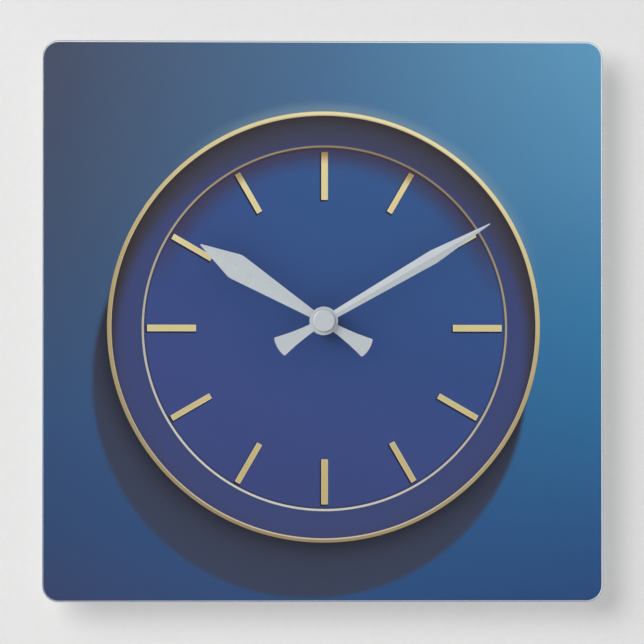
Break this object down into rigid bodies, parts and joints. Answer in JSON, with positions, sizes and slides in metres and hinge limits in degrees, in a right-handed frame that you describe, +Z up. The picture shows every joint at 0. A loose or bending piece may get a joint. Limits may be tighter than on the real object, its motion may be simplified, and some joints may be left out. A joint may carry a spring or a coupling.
{
  "type": "wall clock",
  "caption": "Square clear acrylic wall clock, reverse-printed with a round gold-ringed blue dial, with lance hands on a battery quartz movement and keyhole hanger.",
  "frame": {"origin": "where the hands' axis meets the wall, on the movement's flat rear face", "axes": "+Z up, +Y into the wall, and the dial faces -Y with +X on the reader's right"},
  "size_m": [0.273, 0.0324, 0.273],
  "materials": {
    "clear_acrylic": "clear polished cast acrylic",
    "printed_ink": "reverse print seen through the acrylic",
    "white_ink": "matte white backing print",
    "zinc_plated_steel": "zinc-plated sheet",
    "black_rubber": "matte",
    "turned_brass": "turned",
    "black_plastic": "fine moulded texture",
    "grey_plastic": "moulded",
    "white_plastic": "natural acetal",
    "battery_steel": "nickel plated",
    "battery_sleeve": "printed shrink sleeve without lettering",
    "contact_strip": "nickel-plated spring strip",
    "circuit_board": "phenolic board",
    "black_resin": "cast drop",
    "soft_iron": "stamped",
    "copper": "enamelled wire",
    "magnet": "sintered",
    "satin_aluminium": "satin silver"
  },
  "bodies": {
    "clock": {"face_plate": "clear_acrylic", "printed_artwork": "printed_ink", "white_backing": "white_ink", "hanger_bracket": "zinc_plated_steel", "rubber_gasket": "black_rubber", "mounting_washer": "turned_brass", "hex_nut": "turned_brass", "threaded_bushing": "turned_brass", "movement_case": "black_plastic", "back_cover": "black_plastic", "train_bridge": "grey_plastic", "battery_cell": "battery_steel", "battery_sleeve": "battery_sleeve", "positive_contact": "contact_strip", "negative_contact": "contact_strip", "circuit_board": "circuit_board", "driver_chip": "black_resin", "quartz_crystal": "battery_steel", "coil_core": "soft_iron", "coil_bobbin": "white_plastic", "coil_winding": "copper", "coil_leads": "copper", "stator": "soft_iron"},
    "minute_hand": {"minute_arbor": "turned_brass", "minute_collet": "turned_brass", "minute_hand": "satin_aluminium", "cap_nut": "satin_aluminium", "clutch_spring": "contact_strip"},
    "hour_hand": {"hour_wheel": "white_plastic", "hour_collet": "turned_brass", "hour_hand": "satin_aluminium"},
    "minute_wheel": {"minute_wheel": "white_plastic"},
    "setting_knob": {"setting_arbor": "white_plastic", "setting_knob": "grey_plastic"},
    "rotor": {"rotor": "white_plastic", "rotor_magnet": "magnet"},
    "intermediate_wheel": {"intermediate_wheel": "white_plastic"},
    "seconds_wheel": {"seconds_wheel": "white_plastic"},
    "third_wheel": {"third_wheel": "white_plastic"},
    "centre_wheel": {"centre_wheel": "white_plastic"}
  },
  "joints": [
    {"name": "minute_hand_spin", "type": "hinge", "parent": "clock", "child": "minute_hand", "pos_m": [0, 0, 0], "axis": [0, 1, 0], "continuous": true},
    {"name": "hour_hand_spin", "type": "hinge", "parent": "clock", "child": "hour_hand", "pos_m": [0, 0, 0], "axis": [0, 1, 0], "continuous": true},
    {"name": "minute_wheel_spin", "type": "hinge", "parent": "clock", "child": "minute_wheel", "pos_m": [-0.00956, 0, 0.00084], "axis": [0, 1, 0], "continuous": true},
    {"name": "setting_knob_spin", "type": "hinge", "parent": "clock", "child": "setting_knob", "pos_m": [-0.01788, 0, 0.00564], "axis": [0, 1, 0], "continuous": true},
    {"name": "rotor_spin", "type": "hinge", "parent": "clock", "child": "rotor", "pos_m": [0.01476, 0, 0.00583], "axis": [0, 1, 0], "continuous": true},
    {"name": "intermediate_wheel_spin", "type": "hinge", "parent": "clock", "child": "intermediate_wheel", "pos_m": [0.00869, 0, 0.00233], "axis": [0, 1, 0], "continuous": true},
    {"name": "seconds_wheel_spin", "type": "hinge", "parent": "clock", "child": "seconds_wheel", "pos_m": [0, 0, 0], "axis": [0, 1, 0], "continuous": true},
    {"name": "third_wheel_spin", "type": "hinge", "parent": "clock", "child": "third_wheel", "pos_m": [-0.00171, 0, 0.00971], "axis": [0, 1, 0], "continuous": true},
    {"name": "centre_wheel_spin", "type": "hinge", "parent": "clock", "child": "centre_wheel", "pos_m": [0, 0, 0], "axis": [0, 1, 0], "continuous": true}
  ],
  "couplings": [
    {"joint": "hour_hand_spin", "follows": "minute_hand_spin", "ratio": 0.083333},
    {"joint": "minute_wheel_spin", "follows": "minute_hand_spin", "ratio": -0.33333},
    {"joint": "setting_knob_spin", "follows": "minute_hand_spin", "ratio": 1},
    {"joint": "intermediate_wheel_spin", "follows": "rotor_spin", "ratio": -0.16667},
    {"joint": "seconds_wheel_spin", "follows": "rotor_spin", "ratio": 0.033333},
    {"joint": "third_wheel_spin", "follows": "rotor_spin", "ratio": -0.0044444},
    {"joint": "centre_wheel_spin", "follows": "rotor_spin", "ratio": 0.00055556}
  ]
}
